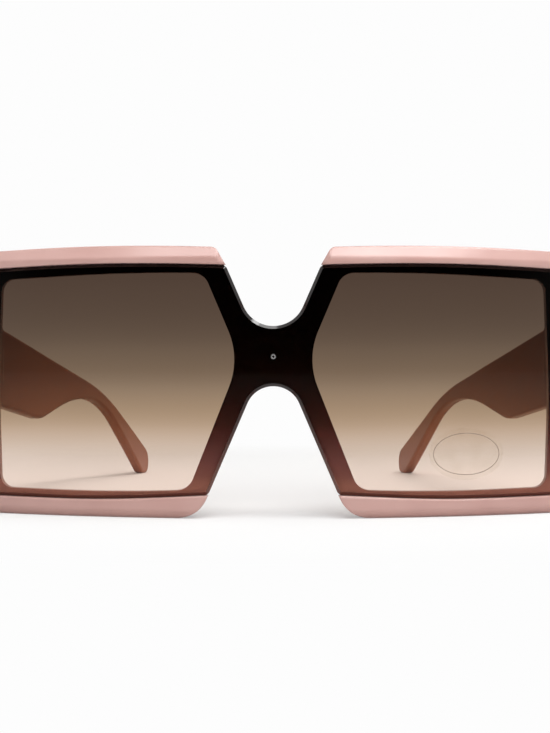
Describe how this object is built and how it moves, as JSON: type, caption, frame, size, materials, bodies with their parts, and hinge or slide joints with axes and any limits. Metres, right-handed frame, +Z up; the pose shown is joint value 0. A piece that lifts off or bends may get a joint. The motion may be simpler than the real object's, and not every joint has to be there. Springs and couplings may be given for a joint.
{
  "type": "oversized shield sunglasses",
  "caption": "Oversized square sunglasses: a one-piece gradient shield lens on a dusty-pink frame with bevelled bars above and below, nose pads and wide temples that fold on screwed hinges.",
  "frame": {"origin": "on the table, in the middle of the footprint of the glasses as they stand on their lower bars and temple tips", "axes": "+Z up from the table, -Y the way the lens faces, +X towards the wearer's left"},
  "size_m": [0.15, 0.1463, 0.0653],
  "materials": {
    "frame_acetate": "tumbled opaque rose acetate; the outsides of the temples are dusty pink like the bars",
    "bar_acetate": "polished opaque dusty-pink acetate",
    "shield_tint": "clear, tinted brown from dark at the top to nearly clear pink-beige at the bottom",
    "pad_acetate": "tumbled acetate, slightly softer gloss",
    "stud_steel": "polished",
    "hinge_steel": "satin nickel-silver",
    "screw_steel": "turned",
    "core_steel": "drawn flat wire",
    "clear_film": "clear film with a printed oval ring and bare middle"
  },
  "bodies": {
    "front": {"front_frame": "frame_acetate", "upper_bar_left": "bar_acetate", "upper_bar_right": "bar_acetate", "lower_bar_left": "bar_acetate", "lower_bar_right": "bar_acetate", "shield_lens": "shield_tint", "nose_pad_left": "pad_acetate", "nose_pad_right": "pad_acetate", "bridge_rivet": "stud_steel", "rivet_washer": "stud_steel", "front_leaf_left": "hinge_steel", "front_leaf_right": "hinge_steel", "hinge_screw_left": "screw_steel", "hinge_screw_right": "screw_steel", "front_leaf_screws_left": "screw_steel", "front_leaf_screws_right": "screw_steel", "lens_sticker": "clear_film"},
    "left_temple": {"temple_left": "frame_acetate", "temple_leaf_left": "hinge_steel", "temple_leaf_screws_left": "screw_steel", "core_wire_left": "core_steel"},
    "right_temple": {"temple_right": "frame_acetate", "temple_leaf_right": "hinge_steel", "temple_leaf_screws_right": "screw_steel", "core_wire_right": "core_steel"}
  },
  "joints": [
    {"name": "left_temple_fold", "type": "hinge", "parent": "front", "child": "left_temple", "pos_m": [0.0698, -0.04923, 0.0364], "axis": [0, 0, 1], "range_deg": [0, 80]},
    {"name": "right_temple_fold", "type": "hinge", "parent": "front", "child": "right_temple", "pos_m": [-0.0698, -0.04923, 0.0364], "axis": [0, 0, -1], "range_deg": [0, 74]}
  ]
}
